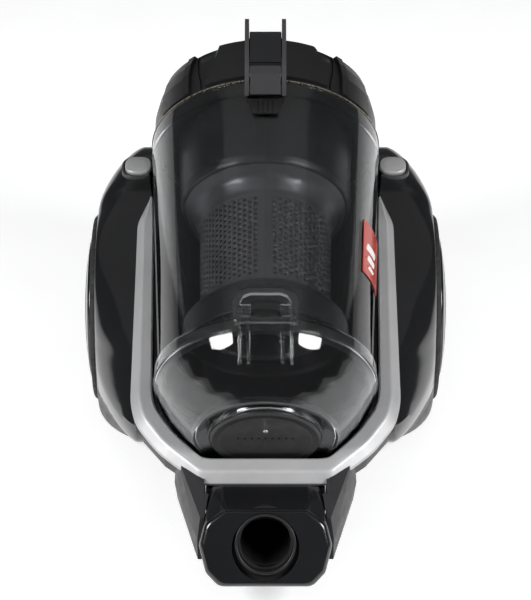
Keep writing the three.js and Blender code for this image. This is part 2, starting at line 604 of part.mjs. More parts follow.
// The sprung loop that holds the lid, with its cross pin moulded on.
const loopOuter = [[-23.5, 60], [-23.5, 80], [-20, 87], [-13, 90.5], [13, 90.5], [20, 87], [23.5, 80],
  [23.5, 60]];
const loopInner = [[-18.5, 50], [-18.5, 78], [-16, 83], [-11, 85.5], [11, 85.5], [16, 83], [18.5, 78],
  [18.5, 50]];
const loop = prism('z', loopOuter, 0, 4).subtract(prism('z', loopInner, -1, 9))
  .add(rod('x', -21, 21, 2.6, [63, 2], 16));
const LOOP_LIFT = 84.2;
add(binAxis, 'lid_clip', loop, SMOKE(), [0, 0, LOOP_LIFT + 0.6]);

// A wedge about the bin axis between two angles from the top, reaching from one station
// to another. Its low end is wider by the flare at each side.
function wedge(from, to, low, high, flare = 0) {
  return loft([[low, flare], [high, 0]].map(([s, wider]) => {
    const corners = [new THREE.Vector3(0, s, 0)];
    for (let i = 0; i <= 3; i += 1) {
      const angle = THREE.MathUtils.degToRad(lerp(from - wider, to + wider, i / 3));
      corners.push(new THREE.Vector3(140 * Math.sin(angle), s, 140 * Math.cos(angle)));
    }
    return corners;
  }));
}
const BADGE = [134, 180];              // stations of the badge on the cylinder's right side
const [lowR, highR] = BADGE.map(binRadius);
const badgeBand = turnedRing([[lowR + 0.3, BADGE[0]], [lowR + 1.1, BADGE[0]],
  [highR + 1.1, BADGE[1]], [highR + 0.3, BADGE[1]]], 72);
add(binAxis, 'badge', badgeBand.intersect(wedge(60, 86, BADGE[0] - 1, BADGE[1] + 1)), RED());

// ------------------------------------------------------------- separator, head, handle

const collar = turnedRing([[64.5, RIM + 3], [67, RIM + 3], [67, 222], [65, 216], [54.5, 216],
  [54.5, 218.5], [63.5, 219], [64.5, 223]], 36);
add(binAxis, 'separator_collar', collar, SATIN());
add(binAxis, 'mesh_grille', turnedRing([[50, 112], [52, 112], [52, 219], [50, 219]], 36), LOWER());
const skirt = turnedRing([[52.6, 122], [54, 122], [60, 116], [67, 107], [67.6, 86], [65.6, 86],
  [64.8, 106], [52.6, 117]], 36);
add(binAxis, 'separator_skirt', skirt, SATIN());
const preFilter = turnedRing([[20, RIM + 8], [60, RIM + 8], [60, RIM + 26], [20, RIM + 26]], 28);
add(binAxis, 'pre_motor_filter', preFilter, FILTER());

const headOutside = turned([[0, RIM + 2.6], [HEAD_R, RIM + 2.6], [HEAD_R, 296], [84.5, 308], [80.5, 318],
  [72, HEAD_END - 1], [0, HEAD_END + 1.5]], 44);
const headInside = turned([[0, RIM - 5], [84, RIM - 5], [84, 295], [81.5, 307], [77.5, 315.5],
  [70, 320], [0, HEAD_END - 1.5]], 36);
// The raised middle panel, the two ribs and their shoulders follow the head's own curve.
const raised = (height) => turned([[0, RIM + 4], [HEAD_R + height, RIM + 4], [HEAD_R + height, 296],
  [84.5 + height, 308], [80.5 + height, 318], [0, 318]], 60);
const panel = raised(3.6).intersect(wedge(-25, 25, RIM, 325, 7));
const headRib = raised(3.2).intersect(wedge(41, 45, RIM, 330))
  .add(raised(1.8).intersect(wedge(44, 64, RIM, 330)));
const seatHole = block([-22, 288, -100], [22, 302, -60]);
const headShell = headOutside.add(panel).add(headRib).add(mirrored(headRib)).subtract(headInside)
  .subtract(seatHole);
add(binAxis, 'head_cover', headShell, SATIN());

// Handle: two arched cheeks joined by a web, standing on the head. Points are station
// and height above the trim plane.
const CHEEK = [[259, 111], [262, 123], [271, 133], [296, 137.4], [308, 137], [315, 133], [313, 128],
  [321, 118], [324, 100], [318, 96], [311, 112.5], [307, 123.5], [296, 128], [277, 127], [270, 118],
  [268, 112.4]];
const cheek = prism('x', CHEEK.map(([s, h]) => [s, h - AXIS_H]), 12.4, 15.6);
const besideAxis = (outline) => outline.map(([s, h]) => [s, h - AXIS_H]);
const web = prism('x', besideAxis([[282, 128.2], [298, 128.6], [298, 131], [282, 130.8]]), -13, 13);
const keepOff = headShell
  .add(turned([[0, RIM - 60], [89.9, RIM - 60], [89.9, RIM + 3], [0, RIM + 3]], 48));
const saddle = block([-13, 268, 92.6], [13, 284, 95]);
const footRoom = moved(keepOff, new THREE.Matrix4().makeTranslation(0, 0, GAP));
const handle = cheek.add(mirrored(cheek)).add(web).add(saddle).subtract(footRoom).subtract(keepOff);
add(binAxis, 'handle_frame', handle, GREY());
const gripTop = [[274, 131.6], [274, 134.2], [296, 136.4], [301, 135.8], [300, 131.8], [296, 131.6]];
add(binAxis, 'grip_cover', prism('x', besideAxis(gripTop), -12, 12), GLOSS());

const PIVOT = [268, 125 - AXIS_H];     // station and height of the latch pin
const leverSide = [[260, 110.5], [258.5, 113.5], [266, 128], [271.5, 131.4], [272.3, 131.4],
  [272.3, 121.4], [266.4, 119], [264.5, 110.5]];
const lever = prism('x', besideAxis(leverSide), -11.6, 11.6).subtract(rod('x', -20, 20, 1.9, PIVOT, 16));
add(binAxis, 'latch_lever', lever, LOWER());
add(binAxis, 'latch_pin', rod('x', -12, 12, 1.5, PIVOT, 16), STEEL());
add(binAxis, 'latch_spring', rod('z', 95.4, 99.2, 2.2, [0, 270], 12), STEEL());
const catchBlock = block([-11, 244.5, 80], [11, 256, 91.5])
  .subtract(turned([[0, 230], [89.3, 230], [89.3, 260], [0, 260]], 64));
add(binAxis, 'latch_catch', catchBlock, SATIN());

export default vacuum;
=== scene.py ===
import json
import math

import bmesh
import bpy
from mathutils import Matrix, Vector


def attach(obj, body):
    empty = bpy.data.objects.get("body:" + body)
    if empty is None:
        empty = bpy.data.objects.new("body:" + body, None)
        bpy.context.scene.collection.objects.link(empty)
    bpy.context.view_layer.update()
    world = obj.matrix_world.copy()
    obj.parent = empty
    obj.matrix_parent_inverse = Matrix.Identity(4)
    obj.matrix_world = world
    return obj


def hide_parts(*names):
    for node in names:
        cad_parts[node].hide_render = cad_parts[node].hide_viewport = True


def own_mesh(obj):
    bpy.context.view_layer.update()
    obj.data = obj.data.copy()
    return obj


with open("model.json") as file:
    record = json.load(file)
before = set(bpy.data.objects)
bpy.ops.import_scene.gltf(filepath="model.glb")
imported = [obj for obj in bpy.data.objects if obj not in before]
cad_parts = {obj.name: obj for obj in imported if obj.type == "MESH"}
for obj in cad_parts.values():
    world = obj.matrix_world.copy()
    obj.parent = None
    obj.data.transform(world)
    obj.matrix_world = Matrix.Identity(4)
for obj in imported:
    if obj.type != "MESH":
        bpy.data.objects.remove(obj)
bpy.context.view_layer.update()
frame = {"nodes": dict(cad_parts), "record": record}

# Shapes are built in millimetres in the CAD's own frames, and turned into metres at the end.
MM = 0.001
GAP = 0.4  # clearance between neighbouring shells
WALL = 3.0  # shell thickness
GROUND = 13.0  # height of the base's flat floor
PARTING = 60.0  # height where the base meets the upper shells
LID_TOP, RIM = 70.0, 275.0  # stations on the bin's axis where the cylinder starts and ends
HEAD_R, HEAD_LENGTH = 90.5, 90.0  # the room for the head above the rim
WHEEL_Y, WHEEL_R = 92.0, 75.0
AXLE_R = 6.4
SOCKET_R = 20.0
AXIS_H = 20.0  # the bin's axis above the plane of the trim frame
FAR = 400.0  # past everything, for cutting

WORLD = Matrix.Identity(4)
TRIM = Matrix.Translation((0, -128.5, 88)) @ Matrix.Rotation(math.radians(22), 4, "X")
BIN = TRIM @ Matrix.Translation((0, 0, AXIS_H))
NOSE = Matrix.Translation((0, -186.4, 66)) @ Matrix.Rotation(math.radians(-36), 4, "X")
DECK = Matrix.Translation((0, 127, 186.6)) @ Matrix.Rotation(math.radians(8), 4, "X")
MIRROR = Matrix.Scale(-1, 4, (1, 0, 0))
HANDS = (("right", 1), ("left", -1))

NODE_BODY = {n: b for b, ns in frame["record"]["behaviour"]["bodies"].items() for n in ns}
NODE_SLOT = {row["node"]: row["material_slot"] for row in frame["record"]["subparts"]}


def lerp(a, b, t):
    return a + (b - a) * t


def smoothstep(value, low, high):
    t = min(1.0, max(0.0, (value - low) / (high - low)))
    return t * t * (3 - 2 * t)


# ------------------------------------------------------------------------------ materials


class Nodes:
    """A small hand for wiring one material's node tree."""

    def __init__(self, name):
        self.material = bpy.data.materials.new(name)
        self.material.use_nodes = True
        self.tree = self.material.node_tree
        self.shader = self.tree.nodes["Principled BSDF"]
        self.place = self.add("ShaderNodeTexCoord").outputs["Object"]

    def add(self, kind, inputs=None, **settings):
        node = self.tree.nodes.new(kind)
        for key, value in settings.items():
            setattr(node, key, value)
        for key, value in (inputs or {}).items():
            if isinstance(value, bpy.types.NodeSocket):
                self.tree.links.new(value, node.inputs[key])
            else:
                node.inputs[key].default_value = value
        return node

    def noise(self, scale, detail=3.0, stretch=(1, 1, 1)):
        spot = self.add("ShaderNodeMapping", {"Vector": self.place, "Scale": stretch})
        return self.add("ShaderNodeTexNoise", {"Vector": spot.outputs[0], "Scale": scale,
                                               "Detail": detail}).outputs["Fac"]

    def ramp(self, value, low, high, out_low, out_high):
        return self.add("ShaderNodeMapRange", {"Value": value, "From Min": low, "From Max": high,
                                               "To Min": out_low, "To Max": out_high}).outputs[0]

    def blend(self, fac, first, second):
        node = self.add("ShaderNodeMix", {"Factor": fac}, data_type="RGBA")
        for socket, value in ((node.inputs[6], first), (node.inputs[7], second)):
            if isinstance(value, bpy.types.NodeSocket):
                self.tree.links.new(value, socket)
            else:
                socket.default_value = (*value, 1)
        return node.outputs[2]

    def link(self, value, socket):
        self.tree.links.new(value, self.shader.inputs[socket])

    def bump(self, height, depth, strength=1.0):
        return self.add("ShaderNodeBump", {"Height": height, "Distance": depth,
                                           "Strength": strength}).outputs[0]


def plastic(name, colour, rough, grain, depth, shade=0.12, metal=0.0, coat=0.0, stretch=(1, 1, 1),
            specular=0.5, glow=0.0):
    """Moulded plastic: its colour drifts a little, and a fine grain breaks up its gloss."""
    m = Nodes(name)
    broad = m.noise(18, 2)
    fine = m.noise(grain, 4, stretch)
    dark = [c * (1 - shade) for c in colour]
    light = [min(1.0, c * (1 + shade)) for c in colour]
    m.link(m.blend(m.ramp(broad, 0.35, 0.65, 0, 1), dark, light), "Base Color")
    m.link(m.ramp(m.noise(140, 3, stretch), 0.3, 0.7, rough * 0.86, rough * 1.16), "Roughness")
    m.link(m.bump(fine, depth), "Normal")
    m.shader.inputs["Metallic"].default_value = metal
    m.shader.inputs["Coat Weight"].default_value = coat
    m.shader.inputs["Coat Roughness"].default_value = 0.08
    m.shader.inputs["Specular IOR Level"].default_value = specular
    m.shader.inputs["Emission Color"].default_value = (1, 1, 1, 1)
    m.shader.inputs["Emission Strength"].default_value = glow
    return m.material


def clear(name, colour, rough):
    """Clear, lightly smoked polycarbonate with faint flow marks and hairline wear."""
    m = Nodes(name)
    m.shader.inputs["Base Color"].default_value = (*colour, 1)
    m.shader.inputs["Transmission Weight"].default_value = 1.0
    m.shader.inputs["IOR"].default_value = 1.46
    m.link(m.ramp(m.noise(60, 4, (1, 0.25, 1)), 0.35, 0.75, rough * 0.6, rough * 1.8), "Roughness")
    m.link(m.bump(m.noise(34, 2, (1, 0.3, 1)), 0.00012, 0.35), "Normal")
    return m.material


def pleated(name, colour):
    """Felt folded in fine pleats, with painted shade darkening each fold's valley."""
    m = Nodes(name)
    pleat_height_and_fold_shade = m.add("ShaderNodeTexWave", {"Vector": m.place, "Scale": 160.0, "Distortion": 0.6,
                                       "Detail": 1.0}).outputs["Fac"]
    # painted shade: the colour is darker in the valleys of the pleats, in step with the bump
    m.link(m.blend(pleat_height_and_fold_shade, [c * 0.72 for c in colour], colour), "Base Color")
    m.link(m.ramp(m.noise(900, 3), 0.3, 0.7, 0.85, 1.0), "Roughness")
    m.link(m.bump(pleat_height_and_fold_shade, 0.0009), "Normal")
    return m.material


def turned_metal(name, colour, rough):
    """Bare metal with the fine rings that a lathe leaves."""
    m = Nodes(name)
    m.shader.inputs["Metallic"].default_value = 1.0
    lathe_marks = m.noise(700, 2, (1, 0.06, 0.06))
    m.link(m.blend(lathe_marks, [c * 0.8 for c in colour], colour), "Base Color")
    m.link(m.ramp(lathe_marks, 0.3, 0.7, rough * 0.7, rough * 1.3), "Roughness")
    m.link(m.bump(lathe_marks, 0.00005), "Normal")
    return m.material


def circuit_board():
    """Green lacquer over a maze of tracks."""
    m = Nodes("circuit_board")
    cells = m.add("ShaderNodeTexVoronoi", {"Vector": m.place, "Scale": 210.0},
                  distance="MANHATTAN").outputs["Distance"]
    tracks = m.ramp(cells, 0.28, 0.34, 0, 1)
    m.link(m.blend(tracks, (0.03, 0.17, 0.08), (0.015, 0.09, 0.045)), "Base Color")
    m.link(m.ramp(tracks, 0, 1, 0.35, 0.6), "Roughness")
    m.link(m.bump(tracks, 0.0001), "Normal")
    return m.material


FINISH = {
    "gloss_black": plastic("gloss_black", (0.0065, 0.0067, 0.0074), 0.16, 260, 0.00002, coat=0.15),
    "satin_black": plastic("satin_black", (0.0105, 0.0105, 0.0112), 0.36, 1500, 0.00005, specular=0.34),
    "dark_grey": plastic("dark_grey", (0.021, 0.021, 0.0225), 0.40, 1500, 0.00007, specular=0.36),
    "mid_grey": plastic("mid_grey", (0.034, 0.034, 0.036), 0.36, 1300, 0.00005),
    "silver": plastic("silver_paint", (0.40, 0.40, 0.405), 0.42, 2600, 0.00003, shade=0.05, metal=0.3),
    "smoked_clear": clear("smoked_clear", (0.80, 0.815, 0.83), 0.035),
    "rubber": plastic("rubber", (0.0105, 0.0105, 0.011), 0.72, 900, 0.00014, shade=0.2),
    "steel": turned_metal("steel", (0.52, 0.52, 0.54), 0.28),
    "motor_metal": turned_metal("motor_metal", (0.42, 0.43, 0.45), 0.38),
    "board": circuit_board(),
    "filter": pleated("filter_felt", (0.70, 0.68, 0.62)),
    "badge_red": plastic("badge_red", (0.36, 0.022, 0.012), 0.30, 800, 0.00003, coat=0.2),
}
SCREEN_GREY = plastic("screen_grey", (0.038, 0.038, 0.04), 0.34, 1500, 0.00005)
PRINT_WHITE = plastic("print_white", (0.72, 0.70, 0.68), 0.4, 900, 0.00003, shade=0.04)
RIM_METAL = turned_metal("rim_metal", (0.52, 0.47, 0.39), 0.3)

for node, obj in frame["nodes"].items():
    obj.data.materials.clear()
    obj.data.materials.append(FINISH[NODE_SLOT[node]])


# -------------------------------------------------------------------------- shape building


def fillet(points, radius, steps=4, closed=True):
    """Rounds the corners of a line of points. radius is one number or one for each corner."""
    points = [Vector(p) for p in points]
    count = len(points)
    made = []
    for i, p in enumerate(points):
        r = radius[i] if isinstance(radius, (list, tuple)) else radius
        if r <= 0 or (not closed and i in (0, count - 1)):
            made.append(p)
            continue
        before, after = points[i - 1] - p, points[(i + 1) % count] - p
        half = max(0.05, before.angle(after) / 2)
        cut = min(r / math.tan(half), 0.46 * before.length, 0.46 * after.length)
        start, end = p + before.normalized() * cut, p + after.normalized() * cut
        made += [start.lerp(p, k / steps).lerp(p.lerp(end, k / steps), k / steps)
                 for k in range(steps + 1)]
    return made


def solid(bm, place=WORLD):
    """A mesh in millimetres in the part's frame, made from a bmesh drawn in the frame given."""
    bmesh.ops.recalc_face_normals(bm, faces=bm.faces)
    mesh = bpy.data.meshes.new("solid")
    bm.to_mesh(mesh)
    bm.free()
    mesh.transform(place)
    return mesh


def lathe(profile, place=BIN, sides=128, dent=None):
    """A profile of (radius, station) turned about the y axis. Angle 0 is the top.
    dent(radius, station, step) says how much to take off the radius."""
    bm = bmesh.new()
    rows = []
    for r, s in profile:
        if r < 1e-6:
            rows.append([bm.verts.new((0, s, 0))])
            continue
        row = []
        for j in range(sides):
            a = 2 * math.pi * j / sides
            reach = r - (dent(r, s, j) if dent else 0)
            row.append(bm.verts.new((reach * math.sin(a), s, reach * math.cos(a))))
        rows.append(row)
    open_ended = len(rows[0]) == 1 or len(rows[-1]) == 1
    pairs = list(zip(rows, rows[1:])) + ([] if open_ended else [(rows[-1], rows[0])])
    for low, high in pairs:
        for j in range(sides):
            k = (j + 1) % sides
            ring = [low[j % len(low)], low[k % len(low)], high[k % len(high)], high[j % len(high)]]
            bm.faces.new(list(dict.fromkeys(ring)))
    return solid(bm, place)


def loft(sections, place=WORLD):
    """A skin over a row of closed sections with equal point counts, capped at both ends."""
    bm = bmesh.new()
    rows = [[bm.verts.new(p) for p in section] for section in sections]
    count = len(rows[0])
    for low, high in zip(rows, rows[1:]):
        for j in range(count):
            k = (j + 1) % count
            bm.faces.new((low[j], low[k], high[k], high[j]))
    bm.faces.new(rows[0])
    bm.faces.new(rows[-1])
    return solid(bm, place)


def prism(axis, outline, low, high, place=WORLD):
    """An outline pushed along x (points are y, z), y (x, z) or z (x, y)."""
    put = {"x": lambda a, b, c: (c, a, b), "y": lambda a, b, c: (a, c, b),
           "z": lambda a, b, c: (a, b, c)}[axis]
    return loft([[put(a, b, c) for a, b in outline] for c in (low, high)], place)


def block(low, high, place=WORLD):
    (x0, y0, z0), (x1, y1, z1) = low, high
    return prism("z", [(x0, y0), (x1, y0), (x1, y1), (x0, y1)], z0, z1, place)


def rod(axis, low, high, radius, middle=(0, 0), sides=48, place=WORLD):
    turn = [2 * math.pi * j / sides for j in range(sides)]
    outline = [(middle[0] + radius * math.cos(a), middle[1] + radius * math.sin(a)) for a in turn]
    return prism(axis, outline, low, high, place)


def joined(base, operation, *others):
    """base with the other solids added (UNION), taken away (DIFFERENCE) or kept (INTERSECT)."""
    link = bpy.context.scene.collection.objects.link
    holder = bpy.data.objects.new("holder", base)
    link(holder)
    tools = []
    for other in others:
        tool = bpy.data.objects.new("tool", other)
        link(tool)
        tools.append(tool)
        step = holder.modifiers.new("step", "BOOLEAN")
        step.operation, step.solver, step.object = operation, "MANIFOLD", tool
    graph = bpy.context.evaluated_depsgraph_get()
    made = bpy.data.meshes.new_from_object(holder.evaluated_get(graph))
    for obj in [holder, *tools]:
        bpy.data.objects.remove(obj)
    return made


def cut(base, *others):
    return joined(base, "DIFFERENCE", *others)


def add(base, *others):
    return joined(base, "UNION", *others)


def keep(base, *others):
    return joined(base, "INTERSECT", *others)


def moved(mesh, matrix):
    """A moved copy, with its normals put right if the matrix mirrors it."""
    made = mesh.copy()
    made.transform(matrix)
    if matrix.determinant() < 0:
        made.flip_normals()
    return made


def mirrored(mesh):
    return moved(mesh, MIRROR)


SMOOTH_TO, BEVEL_FROM = 32, 34  # degrees between faces


def piece(name, mesh, body, slot, nodes=(), bevel=0.0, smooth=SMOOTH_TO, finish=None, segments=3):
    """One visible piece: its mesh in metres, its finish, its body and the CAD nodes it stands for."""
    mesh = mesh.copy()
    mesh.name = name
    mesh.transform(Matrix.Scale(MM, 4))
    mesh.materials.clear()
    mesh.materials.append(finish or FINISH[slot])
    mesh.shade_smooth()
    mesh.set_sharp_from_angle(angle=math.radians(smooth))
    obj = bpy.data.objects.new(name, mesh)
    bpy.context.scene.collection.objects.link(obj)
    if bevel:
        soften(obj, bevel, segments)
    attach(obj, body)
    if nodes:
        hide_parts(*nodes)
    return obj


def soften(obj, width, segments):
    """Rounds the edges that turn by more than BEVEL_FROM degrees."""
    edge = obj.modifiers.new("edge", "BEVEL")
    edge.width, edge.segments = width * MM, segments
    edge.limit_method, edge.angle_limit = "ANGLE", math.radians(BEVEL_FROM)
    edge.harden_normals = True


def softened(node, width, segments=3):
    """A CAD node with its flat faces made whole and its edges rounded."""
    bm = bmesh.new()
    bm.from_mesh(frame["nodes"][node].data)
    bmesh.ops.remove_doubles(bm, verts=bm.verts, dist=2e-6)
    bmesh.ops.dissolve_limit(bm, angle_limit=math.radians(0.8), verts=bm.verts, edges=bm.edges)
    mesh = solid(bm, Matrix.Scale(1 / MM, 4))
    return piece(node + "_finished", mesh, NODE_BODY[node], NODE_SLOT[node], (node,), width,
                 segments=segments)


# ------------------------------------------------------------------------ shapes in common

LID_OUTLINE = [(53, 15), (62, 24), (71.5, 36), (79, 50), (82.6, 59)]
SIDE_CORNERS = [(0, GROUND), (-40, 42), (-76, 71), (-86, 93), (-80, 98), (30, 143.5), (106, 175),
                (118, 187), (142, 191), (160, 187), (180, 161), (192, 124), (199, 84), (200, 50),
                (194, 24), (184, GROUND)]
SIDE_ROUND = [6, 20, 14, 6, 6, 60, 14, 16, 30, 24, 40, 60, 60, 30, 12, 3]
SIDE = [tuple(p) for p in fillet(SIDE_CORNERS, SIDE_ROUND, 5)]
ARCH_R, WELL_R, WELL_X = 82.0, 78.4, 115.0
LOBE_X = (89.0, 97.0, 133.0)
INLET = (17.0, 92.0, 114.0)
GRILLE = (56.0, 70.0, 118.0)


def bin_radius(s):
    return lerp(80, 89, (s - LID_TOP) / (RIM - LID_TOP))


def cradle_outline(grow):
    """The bin's outline with the cradle's clearance, grown outwards."""
    under = [(r + 2.4 + grow, s - grow / 2) for r, s in LID_OUTLINE]
    return under + [(bin_radius(RIM) + 2.4 + grow, RIM - 1)]


def body_room():
    """What the bin and the head need to drop in, with their gaps."""
    outline = cradle_outline(WALL + GAP)
    front = 9 - WALL - GAP
    pit = lathe([(0, front), (outline[0][0] - 3, front), *outline, (0, RIM - 1)])
    plan = outline + [(-r, s) for r, s in reversed(outline)]
    return add(pit, prism("z", plan, 0, 160, BIN), *head_room(HEAD_R + GAP))


def head_room(radius):
    """A round seat for the head about the bin's axis, and the slot that it lifts out through."""
    low, high = RIM - 2, RIM + HEAD_LENGTH
    return (lathe([(0, low), (radius, low), (radius, high), (0, high)]),
            block((-radius, low, 0), (radius, high, 160), BIN))


def side_reach(angle):
    """How far the side outline is from the wheel's middle in one direction."""
    dy, dz = math.cos(angle), math.sin(angle)
    reach = 0.0
    for (ay, az), (by, bz) in zip(SIDE, SIDE[1:] + SIDE[:1]):
        ey, ez = by - ay, bz - az
        det = dy * ez - dz * ey
        if abs(det) < 1e-12:
            continue
        t = ((ay - WHEEL_Y) * ez - (az - WHEEL_R) * ey) / det
        u = ((ay - WHEEL_Y) * dz - (az - WHEEL_R) * dy) / det
        if t > 0 and -1e-9 <= u <= 1 + 1e-9:
            reach = max(reach, t)
    return reach


def lobe(inset):
    """One wheel lobe: the side outline shrinks to the round arch as it goes outwards."""
    turns, steps = 176, 26
    end = LOBE_X[2] - inset
    stations = [LOBE_X[0] - 3 * inset]
    stations += [lerp(LOBE_X[1], end, math.sin(i / steps * math.pi / 2)) for i in range(steps + 1)]
    turn = [2 * math.pi * j / turns for j in range(turns)]
    reaches = [side_reach(a) for a in turn]
    sections = []
    for x in stations:
        out = min(1.0, max(0.0, (x - LOBE_X[1]) / (end - LOBE_X[1])))
        row = []
        for a, reach in zip(turn, reaches):
            slope = lerp(1.8, 1.35, smoothstep(reach, 112, 138))
            radius = lerp(ARCH_R, reach, (1 - out ** slope) ** (1 / slope)) - inset
            row.append((x, WHEEL_Y + radius * math.cos(a), WHEEL_R + radius * math.sin(a)))
        sections.append(row)
    return loft(sections)


COIL_STEPS = 24  # to one turn


def coil(place, radius, wire, height, turns):
    """A helical spring standing on the origin of a frame."""
    sections = []
    ring = [2 * math.pi * j / 10 for j in range(10)]
    for i in range(int(turns * COIL_STEPS) + 1):
        a = 2 * math.pi * i / COIL_STEPS
        out = Vector((math.cos(a), math.sin(a), 0))
        rise = wire + (height - 2 * wire) * i / (turns * COIL_STEPS)
        middle = out * radius + Vector((0, 0, rise))
        sections.append([middle + (out * math.cos(b) + Vector((0, 0, math.sin(b)))) * wire
                         for b in ring])
    return loft(sections, place)


def above(z):
    return block((-FAR, -FAR, z), (FAR, FAR, FAR))


def below(z):
    return block((-FAR, -FAR, -FAR), (FAR, FAR, z))


def wheel_room(radius, low, high):
    """A round room about the wheel's axis."""
    return rod("x", low, high, radius, (WHEEL_Y, WHEEL_R), 128)


# Half of the frame's outline, each corner with its outer x and y, then its inner x and y.
TRIM_HALF = [(0, -9, 0, 9), (46, -9, 41, 9), (50, -7.5, 47.5, 10), (80, 17.5, 69.5, 31),
             (97.5, 41.5, 84, 53), (101.5, 60, 86.5, 66), (100.3, 221, 88.6, 223),
             (91.2, 244, 89.2, 243)]
TRIM_ROUND = [0, 50, 50, 70, 60, 60, 30, 0]


def trim_ring(grow, profile):
    """The octagonal frame: a profile of (share of the way in, height) swept along its sides."""
    def half_line(columns):
        corners = [(row[columns], row[columns + 1]) for row in TRIM_HALF]
        return fillet(corners, TRIM_ROUND, 6, closed=False)

    outer, inner = half_line(0), half_line(2)
    outer = [Vector((-p.x, p.y)) for p in reversed(outer[1:])] + outer
    inner = [Vector((-p.x, p.y)) for p in reversed(inner[1:])] + inner
    sections = []
    for o, i in zip(outer, inner):
        away = (o - i).normalized() * grow
        a, b = o + away, i - away
        sections.append([(*a.lerp(b, t), h) for t, h in profile])
    return loft(sections, TRIM)


BODY_ROOM = body_room()
TRIM_ROOM = trim_ring(GAP, [(0, -8.4), (0, -4.6), (0.45, 0.4), (1, -1.1), (1, -8.4)])
LOBE = keep(lobe(0), above(GROUND))
LOBE_INSIDE = lobe(WALL)
LOBE_HOLLOW = cut(LOBE_INSIDE, wheel_room(WELL_R + 2.5, WELL_X - 2.5, 160))
WELL = wheel_room(WELL_R, WELL_X, 160)


def pad(x, size, low, high, dome=0.0, edge=0.0):
    """A squarish oval pad standing on the deck. dome lifts its middle, and edge rounds its rim."""
    half_width, half_length = size
    power, count = 0.75, 64
    turn = [2 * math.pi * i / count for i in range(count)]

    def ring(scale_in, h):
        row = []
        for a in turn:
            c = math.copysign(abs(math.cos(a)) ** power, math.cos(a))
            d = math.copysign(abs(math.sin(a)) ** power, math.sin(a))
            row.append((x + max(0.3, half_width - scale_in) * c,
                        max(0.3, half_length - scale_in) * d, h))
        return row

    rows = [ring(0, low)]
    for k in range(5):
        turn_in = k / 4 * math.pi / 2
        rows.append(ring(edge * (1 - math.cos(turn_in)), high - edge * (1 - math.sin(turn_in))))
        if not edge:
            break
    if dome:
        for k in range(1, 6):
            share = k / 6
            rows.append(ring(edge + (half_width - edge - 0.4) * share,
                             high + dome * (1 - (1 - share) ** 2)))
    return loft(rows, DECK)


def wedge(start, end, low, high, flare=0.0):
    """A wedge about the bin axis between two angles from the top and two stations.
    Its low end is wider by the flare at each side."""
    sections = []
    for s, wider in ((low, flare), (high, 0)):
        turn = [math.radians(lerp(start - wider, end + wider, i / 3)) for i in range(4)]
        sections.append([(0, s, 0)] + [(140 * math.sin(a), s, 140 * math.cos(a)) for a in turn])
    return loft(sections, BIN)


# ------------------------------------------------------------------------------ the body

PEDAL_X, PEDAL, PEDAL_WELL = 101.0, (10.5, 9.6), (11.5, 10.6)
SCREW_XY, GLAND_XZ, CASTER_Y = (70, 20), (-76, 84), -122
pedal_room = pad(PEDAL_X, PEDAL_WELL, -26, 34)
boss_room = add(rod("x", 90, 120, 11.5, (WHEEL_Y, WHEEL_R)),
                block((90, WHEEL_Y - 11.5, 0), (120, WHEEL_Y + 11.5, WHEEL_R)))
fender = cut(keep(cut(LOBE, LOBE_HOLLOW, WELL), above(PARTING + GAP)), BODY_ROOM, TRIM_ROOM,
             boss_room, pedal_room)
piece("right_fender_shell", fender, "root", "gloss_black", ["right_fender"], 0.7)
piece("left_fender_shell", mirrored(fender), "root", "gloss_black", ["left_fender"], 0.7)


def centre(inset):
    """The side outline across the body between the lobes."""
    half = LOBE_X[0] - GAP - inset
    return prism("x", SIDE, -half, half)


rear_inside = moved(centre(WALL),
                    Matrix.Translation((0, 6, 9)) @ Matrix.Diagonal((1, 0.955, 0.9, 1)))
base_inside = moved(centre(WALL),
                    Matrix.Translation((0, 6, 2.8)) @ Matrix.Diagonal((1, 0.955, 1, 1)))
head_seat = add(*head_room(HEAD_R + 2 * GAP + WALL))
rear_hollow = keep(cut(rear_inside, head_seat), block((-FAR, 100, 0), (FAR, 196, FAR)))
exhaust_window = block((-GRILLE[0], 180, GRILLE[1]), (GRILLE[0], 230, GRILLE[2]))
grille_pocket = prism("y", fillet([(-61, 65), (61, 65), (61, 123), (-61, 123)], 5), 196.5, 230)
air_seat = block((-26, 286, -120), (26, 304, -60), BIN)
rear = cut(keep(centre(0), block((-FAR, 158, PARTING + GAP), (FAR, FAR, FAR))), BODY_ROOM,
           rear_hollow, exhaust_window, grille_pocket, air_seat, rod("y", 180, 220, 7.4, GLAND_XZ))
piece("rear_housing_shell", rear, "root", "gloss_black", ["rear_housing"], 0.7)

TONGUE = [(-145, 29), (-101, 29), (-80, GROUND), (-20, GROUND), (-20, PARTING), (-60, 72),
          (-136, 72), (-145, 42)]
TONGUE_INSIDE = [(-170, 32), (-100.5, 32), (-79, GROUND + WALL + 0.4), (-8, GROUND + WALL + 0.4),
                 (-8, 90), (-170, 90)]
tub = add(keep(add(centre(-GAP), LOBE, mirrored(LOBE)), below(PARTING)),
          prism("x", TONGUE, -44, 44))
hollow = add(keep(add(base_inside, LOBE_HOLLOW, mirrored(LOBE_HOLLOW)),
                  block((-FAR, -FAR, GROUND + WALL), (FAR, 194, FAR))),
             prism("x", TONGUE_INSIDE, -41, 41))
base = cut(tub, hollow)
boss = keep(add(rod("x", 100, WELL_X - 1, 11, (WHEEL_Y, WHEEL_R)),
                block((103, WHEEL_Y - 11, GROUND + 1), (WELL_X - 1, WHEEL_Y + 11, WHEEL_R))), LOBE)
base = add(base, rod("z", 29, 34.5, 11, (0, CASTER_Y)), boss, mirrored(boss))
screw_hole = rod("z", 0, GROUND + WALL + 9, 3.4, SCREW_XY)
base = cut(base, WELL, mirrored(WELL), rod("x", 90, 150, AXLE_R, (WHEEL_Y, WHEEL_R)),
           rod("x", -150, -90, AXLE_R, (WHEEL_Y, WHEEL_R)), rod("z", 20, 60, 6.6, (0, CASTER_Y)),
           BODY_ROOM, mirrored(screw_hole), screw_hole)
piece("lower_base_shell", base, "root", "dark_grey", ["lower_base"], 0.6)

